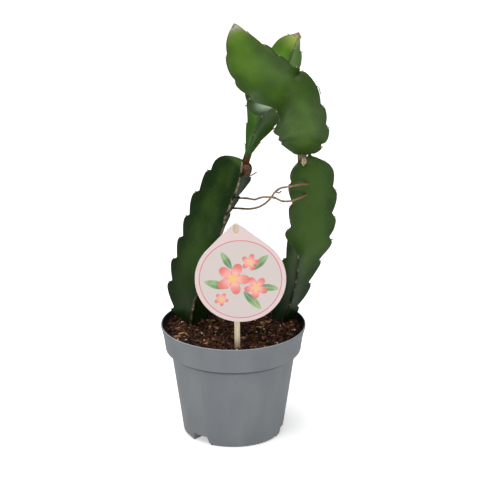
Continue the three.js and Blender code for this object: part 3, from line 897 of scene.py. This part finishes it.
brown_horn = horn("brown_horn", (0.03, 0.018, 0.01, 1), (0.3, 0.24, 0.17, 1))
pale_horn = horn("pale_horn", (0.07, 0.045, 0.02, 1), (0.6, 0.56, 0.42, 1))
add_areoles("left_cutting_areoles", chance, left_cutting, 0.8, brown_horn)
add_areoles("left_shoot_areoles", chance, left_shoot, 0.6, pale_horn)
add_areoles("right_cutting_areoles", chance, right_cutting, 0.8, brown_horn)
add_areoles("right_shoot_areoles", chance, right_shoot, 0.6, pale_horn)

# The callus is the corky knob where the left cutting's top was cut and its shoot broke out. A dry scar lies
# on the right cutting where its own shoot begins, and a dry scale is left at the tip of each shoot.
CALLUS_PLACE = Vector((10.6, 7.5, 226))
CALLUS_SIZE = (3.3, 3.2, 5)
SCAR_PLACE = Vector((57.5, 3.2, 235.5))
SCAR_SIZE = (2.3, 1.5, 3.2)
RIGHT_SCALE_PLACE = Vector((2.6, -19.4, 353.8))
LEFT_SCALE_PLACE = Vector((52.4, 32.4, 332.6))
SCALE_SIZE = (2.6, 1.3, 3.8)


def knob_shape(place, size):
    """A lumpy knob of woody tissue."""
    shape = bmesh.new()
    bmesh.ops.create_icosphere(shape, subdivisions=4, radius=1)
    for corner in shape.verts:
        lumps = noise.fractal(corner.co * 1.7 + place, 0.9, 2.0, 4)
        corner.co *= 1 + 0.3 * lumps
    bmesh.ops.scale(shape, vec=size, verts=shape.verts)
    bmesh.ops.translate(shape, vec=place, verts=shape.verts)
    return shape


def callus_cork(name, dark, pale):
    material, shader, place = new_material(name)
    grain = mottle(stretched(place, 1, 1, 0.5), 1.1, 6, 0.8)
    coat(shader, mixed(rise(grain, 0.3, 0.7), dark, pale), 0.75 + grain * 0.2, grain, 0.7)
    return material


def add_knob(name, shape, material):
    piece = add_piece(name, shape, material)
    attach(piece, "root")


callus = callus_cork("red_callus", (0.03, 0.012, 0.008, 1), (0.2, 0.085, 0.045, 1))
add_knob("left_callus", knob_shape(CALLUS_PLACE, CALLUS_SIZE), callus)
scar = callus_cork("pale_scar", (0.16, 0.11, 0.06, 1), (0.5, 0.4, 0.26, 1))
add_knob("right_scar", knob_shape(SCAR_PLACE, SCAR_SIZE), scar)
add_knob("right_tip_scale", knob_shape(RIGHT_SCALE_PLACE, SCALE_SIZE), scar)
add_knob("left_tip_scale", knob_shape(LEFT_SCALE_PLACE, SCALE_SIZE), scar)

# The aerial roots are two wiry brown roots that grew out of the right cutting's face, crossed over to the
# left cutting and took hold there. They touch where they cross, and the upper one has a dead spur. A dead
# stub stands by the callus, and a thin dry bristle hangs from the right shoot's margin.
ROOT_RADIUS = 0.85
ROOT_SIDES = 10
ROOT_ROW = 0.7
HIGH_ROOT = [
    (62, 6, 215), (56, -3, 218), (47.2, -4.5, 216.6), (39, -3, 214.5), (34.2, -1, 210.3), (30.2, 0, 204.2),
    (26, 3, 199), (20.4, 5, 195.1), (13.1, 7, 193), (5.7, 9, 192.7), (-3.4, 12, 192),
]
LOW_ROOT = [
    (60.5, 6, 206), (54.4, -3, 206), (47.3, -4.5, 203.9), (39.9, -2.5, 203.2), (34.2, -0.5, 205.1),
    (29.3, 0, 205.8), (22.8, 2, 204.7), (17.9, 4, 202.2), (12.2, 6, 202.4), (5.7, 9, 201.8), (-0.2, 12, 201),
]
BRISTLE = [(64, -8, 304), (67, -8.5, 303.6), (69.3, -9, 301.5), (70.5, -9, 296.5)]
BRISTLE_RADIUS = 0.3
SPUR = [(34.6, -1, 210.6), (37.2, -3, 210.4), (39.6, -4, 212.6)]
SPUR_RADIUS = 0.6
STUB = [(12, 6, 222), (15.5, 4, 223.5), (19.5, 3, 226.5)]
STUB_RADIUS = 0.5
ROOT_BROWN = (0.16, 0.09, 0.045, 1)
ROOT_PALE = (0.42, 0.28, 0.17, 1)
ROOT_RED = (0.2, 0.075, 0.04, 1)
ROOT_PAINTED_SHADE = (0.075, 0.045, 0.028, 1)


def root_shape(points, radius):
    """A tapering, knobbly bar along a line."""
    line = Line([Vector(point) for point in points])
    rows = round(line.length / ROOT_ROW)

    def place_of(column, row):
        distance = line.length * row / rows
        centre, _, front, right = line.axes(distance)
        turn = math.tau * column / ROOT_SIDES
        out = front * math.cos(turn) + right * math.sin(turn)
        knobs = 1 + 0.28 * noise.noise(Vector((distance / 2.5, 2 * math.cos(turn), points[0][2])))
        return centre + out * (radius * knobs if 0 < row < rows else 0)

    return rolled(ROOT_SIDES, rows, place_of)


def root_bark():
    """Papery brown bark, paler in streaks and redder at the right cutting, with painted shade darkening it
    towards the left cutting.
    """
    material, shader, place = new_material("root_bark")
    x = place.node("ShaderNodeSeparateXYZ", {}, {0: place}, "X")
    streaks = mottle(stretched(place, 0.25, 1, 1), 0.8, 5, 0.5)
    colour = mixed(rise(streaks, 0.3, 0.75), ROOT_BROWN, ROOT_PALE)
    colour = mixed(rise(x, 46, 58) * 0.8, colour, ROOT_RED)
    # Painted shade: the roots grow darker towards the left cutting, where its shade falls on them.
    colour = mixed((1 - rise(x, 3, 30)) * 0.75, colour, ROOT_PAINTED_SHADE)
    coat(shader, colour, 0.7 + streaks * 0.2, streaks, 0.3)
    return material


roots_shape = root_shape(HIGH_ROOT, ROOT_RADIUS)
for points, radius in ((LOW_ROOT, ROOT_RADIUS), (SPUR, SPUR_RADIUS), (STUB, STUB_RADIUS)):
    branch = as_mesh(root_shape(points, radius))
    roots_shape.from_mesh(branch)
roots = add_piece("crossing_roots", roots_shape, root_bark())
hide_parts("aerial_roots")
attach(roots, "root")
bristle = add_piece("margin_bristle", root_shape(BRISTLE, BRISTLE_RADIUS), pale_horn)
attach(bristle, "root")

# The label is a stiff printed card, round below with a point above, where a small window shows the end of
# the stick that it is glued to.
CARD_RADIUS = 37
CARD_POINT_HEIGHT = 45
CARD_POINT_RADIUS = 3.6
CARD_THICKNESS = 0.7
CARD_CENTRE = Vector((6, -48, 152.3))
CARD_ROLL = math.radians(5)
CARD_SIDES = 180
WINDOW_WIDTH = 4.2
WINDOW_HEIGHT = 7.5
RING_RADII = (32.8, 33.9)
CREAM = (0.6, 0.53, 0.5, 1)
PINK = (0.68, 0.54, 0.53, 1)
ROSE = (0.62, 0.12, 0.17, 1)
LEAF_DARK = (0.06, 0.2, 0.07, 1)
LEAF_PALE = (0.25, 0.42, 0.16, 1)
LEAF_VEIN = (0.5, 0.6, 0.35, 1)
PETAL_PALE = (0.85, 0.42, 0.36, 1)
PETAL_DEEP = (0.72, 0.13, 0.12, 1)
PETAL_FOLD = (0.5, 0.06, 0.07, 1)
EYE_YELLOW = (0.8, 0.5, 0.12, 1)
LEAVES = [
    (-20, -3, 2.8, 11, 3.6), (17, 13, 0.7, 10, 3.2), (8, -19, -0.9, 11, 3.4), (-10, 17, 2.0, 9, 3),
    (22, -9, -0.2, 9, 3),
]
FLOWERS = [(-6, 1, 14, 5, 0.4), (12, -8, 10, 5, 1.2), (9, 14, 7.5, 5, 0.1), (-17, -16, 6, 5, 0.8)]


def card_reach(turn):
    """The card's reach from the round's centre at an angle from its point."""
    turn = abs((turn + math.pi) % math.tau - math.pi)
    flank = math.acos((CARD_RADIUS - CARD_POINT_RADIUS) / CARD_POINT_HEIGHT)
    if turn >= flank:
        return CARD_RADIUS
    side = CARD_RADIUS / math.cos(flank - turn)
    across = CARD_POINT_HEIGHT * math.sin(turn)
    if across >= CARD_POINT_RADIUS:
        return side
    return min(side, CARD_POINT_HEIGHT * math.cos(turn) + math.sqrt(CARD_POINT_RADIUS**2 - across**2))


def stand_up(shape):
    """Turns a flat shape upright, rolls it and sets it in the card's place."""
    bmesh.ops.rotate(shape, matrix=Matrix.Rotation(math.pi / 2, 3, "X"), verts=shape.verts)
    bmesh.ops.rotate(shape, matrix=Matrix.Rotation(-CARD_ROLL, 3, "Y"), verts=shape.verts)
    bmesh.ops.translate(shape, vec=CARD_CENTRE, verts=shape.verts)


def plate(shape, thickness):
    """Gives a flat face a thickness towards +Z."""
    raised = bmesh.ops.extrude_face_region(shape, geom=shape.faces[:])["geom"]
    corners = [part for part in raised if isinstance(part, bmesh.types.BMVert)]
    bmesh.ops.translate(shape, vec=(0, 0, thickness), verts=corners)
    bmesh.ops.recalc_face_normals(shape, faces=shape.faces)


def card_shape():
    shape = bmesh.new()
    bmesh.ops.create_circle(shape, cap_ends=True, segments=CARD_SIDES, radius=1)
    for corner in shape.verts:
        turn = math.atan2(corner.co.x, corner.co.y)
        corner.co *= card_reach(turn)
    plate(shape, CARD_THICKNESS)
    stand_up(shape)
    return shape


def window_shape():
    shape = bmesh.new()
    bmesh.ops.create_circle(shape, cap_ends=True, segments=32, radius=WINDOW_WIDTH / 2)
    for corner in shape.verts:
        drop = 0 if corner.co.y > 0 else WINDOW_HEIGHT - WINDOW_WIDTH
        corner.co += Vector((0, CARD_POINT_HEIGHT - drop, -1))
    plate(shape, CARD_THICKNESS + 2)
    stand_up(shape)
    return shape


def printed_card():
    """Uncoated card printed in pinks: a thin ring round a spray of flowers and leaves in flat washes."""
    material, shader, place = new_material("printed_card")
    lowered = place.node("ShaderNodeVectorMath", {"operation": "SUBTRACT"}, {0: place, 1: CARD_CENTRE})
    x = lowered.node("ShaderNodeSeparateXYZ", {}, {0: lowered}, "X")
    z = lowered.node("ShaderNodeSeparateXYZ", {}, {0: lowered}, "Z")
    across = x * math.cos(CARD_ROLL) + z * math.sin(CARD_ROLL)
    up = z * math.cos(CARD_ROLL) - x * math.sin(CARD_ROLL)
    radius = x.math("SQRT", across * across + up * up)
    wash = mottle(place, 7, 4)
    grain = mottle(place, 0.4, 3)
    colour = mixed(rise(radius + wash * 4, 33, 37), CREAM, PINK)
    ring_start, ring_end = RING_RADII
    ring = rise(radius, ring_start, ring_start + 0.3) * (1 - rise(radius, ring_end - 0.3, ring_end))
    colour = mixed(ring * (0.55 + wash * 0.6), colour, ROSE)

    def leaf(colour, middle_x, middle_y, turn, length, width):
        along = (across - middle_x) * math.cos(turn) + (up - middle_y) * math.sin(turn)
        side = (up - middle_y) * math.cos(turn) - (across - middle_x) * math.sin(turn)
        share = along / length
        body = rise((1 - share * share) * width - x.math("ABSOLUTE", side), -0.1, 0.3)
        vein = 1 - rise(x.math("ABSOLUTE", side), 0.15, 0.4)
        green = mixed(rise(wash + share * 0.3, 0.3, 0.8), LEAF_DARK, LEAF_PALE)
        return mixed(body * 0.9, colour, mixed(vein * 0.5, green, LEAF_VEIN))

    def flower(colour, middle_x, middle_y, size, petals, turn):
        from_x, from_y = across - middle_x, up - middle_y
        reach = x.math("SQRT", from_x * from_x + from_y * from_y)
        angle = x.math("ARCTAN2", from_y, from_x)
        wave = x.math("ABSOLUTE", x.math("COSINE", angle * (petals / 2) + turn))
        body = rise((0.45 + wave * 0.55) * size - reach, -0.1, 0.35)
        tint = mixed(rise(reach / size + (wash - 0.5) * 0.5, 0.2, 1), PETAL_PALE, PETAL_DEEP)
        fold = mixed((1 - rise(wave, 0, 0.35)) * 0.5, tint, PETAL_FOLD)
        eye = mixed(1 - rise(reach, size * 0.2, size * 0.26), fold, EYE_YELLOW)
        return mixed(body * 0.92, colour, eye)

    for leaf_form in LEAVES:
        colour = leaf(colour, *leaf_form)
    for flower_form in FLOWERS:
        colour = flower(colour, *flower_form)
    coat(shader, colour, 0.5 + grain * 0.15, grain, 0.04)
    return material


def bare_card():
    material, shader, place = new_material("bare_card")
    grain = mottle(place, 0.5, 4)
    coat(shader, mixed(grain, (0.8, 0.76, 0.73, 1), (0.86, 0.83, 0.8, 1)), 0.7 + grain * 0.15, grain, 0.05)
    return material


card = add_piece("label_round", card_shape(), printed_card(), bare_card())
combine(card, add_piece("window", window_shape()), "DIFFERENCE")
for side in card.data.polygons:
    side.material_index = 0 if side.normal.y < -0.9 else 1
card.data.set_sharp_from_angle(angle=math.radians(40))
edge_bevel = card.modifiers.new("worn_edge", "BEVEL")
edge_bevel.width = 0.12 * MM
edge_bevel.segments = 2
edge_bevel.limit_method = "ANGLE"
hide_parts("label_card")
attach(card, "root")

# The stick is a flat split of pale wood, pushed into the soil behind the card and glued to its back.
STICK_WIDTH = 4.6
STICK_THICKNESS = 2
STICK_FOOT = Vector((3.9, 0, 64))
STICK_TOP = Vector((2.1, 0, 199))
CARD_GAP = 0.35


def stick_shape():
    line = STICK_TOP - STICK_FOOT
    shape = bmesh.new()
    bmesh.ops.create_cube(shape, size=1)
    bmesh.ops.scale(shape, vec=(STICK_WIDTH, STICK_THICKNESS, line.length), verts=shape.verts)
    bmesh.ops.bevel(
        shape, geom=shape.edges[:], offset=0.35, segments=3, profile=0.5, affect="EDGES", material=-1
    )
    lean = math.atan2(line.x, line.z)
    bmesh.ops.rotate(shape, matrix=Matrix.Rotation(lean, 3, "Y"), verts=shape.verts)
    middle = (STICK_FOOT + STICK_TOP) / 2
    middle.y = CARD_CENTRE.y + CARD_GAP + STICK_THICKNESS / 2
    bmesh.ops.translate(shape, vec=middle, verts=shape.verts)
    return shape


def split_wood():
    """Pale close-grained wood, split along the grain and damp-stained near the soil."""
    material, shader, place = new_material("split_wood")
    z = place.node("ShaderNodeSeparateXYZ", {}, {0: place}, "Z")
    grain = mottle(stretched(place, 1, 1, 0.04), 0.5, 4, 0.3)
    broad = mottle(stretched(place, 1, 1, 0.08), 2.5, 3)
    colour = mixed(rise(grain * 0.6 + broad * 0.5, 0.3, 0.8), (0.5, 0.39, 0.24, 1), (0.78, 0.68, 0.49, 1))
    colour = mixed((1 - rise(z + broad * 6, 93, 101)) * 0.6, colour, (0.25, 0.16, 0.09, 1))
    coat(shader, colour, 0.65 + grain * 0.2, grain, 0.15)
    return material


stick = add_piece("label_stick_wood", stick_shape(), split_wood())
stick.data.set_sharp_from_angle(angle=math.radians(40))
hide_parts("label_stick")
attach(stick, "root")

# The stage is a white floor under large soft lights. The camera stands a few metres off and looks down a
# little, as in the photo.
VIEW_TARGET = Vector((5.6, 0, 168.8)) * MM
VIEW_HEIGHT = math.radians(20.1)
VIEW_DISTANCE = 2.6
FOCAL_LENGTH = 237.3


def soft_light(name, place, size, power, colour):
    lamp = bpy.data.lights.new(name, "AREA")
    lamp.shape = "DISK"
    lamp.size = size
    lamp.energy = power
    lamp.color = colour
    light = bpy.data.objects.new(name, lamp)
    light.location = place
    light.rotation_euler = (VIEW_TARGET - Vector(place)).to_track_quat("-Z", "Y").to_euler()
    bpy.context.scene.collection.objects.link(light)


floor_shape = bmesh.new()
bmesh.ops.create_grid(floor_shape, x_segments=1, y_segments=1, size=4 / MM)
floor_material, floor_shader, _ = new_material("white_floor")
floor_shader.inputs["Base Color"].default_value = (0.95, 0.95, 0.95, 1)
floor_shader.inputs["Roughness"].default_value = 0.9
floor_shader.inputs["Emission Color"].default_value = (1, 1, 1, 1)
floor_shader.inputs["Emission Strength"].default_value = 0.5
floor = add_piece("floor", floor_shape, floor_material)

soft_light("key_light", (-0.4, -1.1, 2.0), 1.7, 30, (1, 1, 1))
soft_light("top_light", (-0.3, 0.2, 2.0), 1.3, 20, (1, 1, 1))
soft_light("fill_light", (1.6, -1.5, 0.9), 1.4, 6, (1, 1, 1))
world = bpy.data.worlds.new("studio")
world.use_nodes = True
world.node_tree.nodes["Background"].inputs["Color"].default_value = (1, 1, 1, 1)
world.node_tree.nodes["Background"].inputs["Strength"].default_value = 0.18
bpy.context.scene.world = world
bpy.context.scene.view_settings.view_transform = "Standard"

camera = bpy.data.objects.new("camera", bpy.data.cameras.new("camera"))
camera.data.lens = FOCAL_LENGTH
camera.data.clip_end = 50
back = Vector((0, -math.cos(VIEW_HEIGHT), math.sin(VIEW_HEIGHT)))
camera.location = VIEW_TARGET + back * VIEW_DISTANCE
camera.rotation_euler = (-back).to_track_quat("-Z", "Y").to_euler()
bpy.context.scene.collection.objects.link(camera)
bpy.context.scene.camera = camera
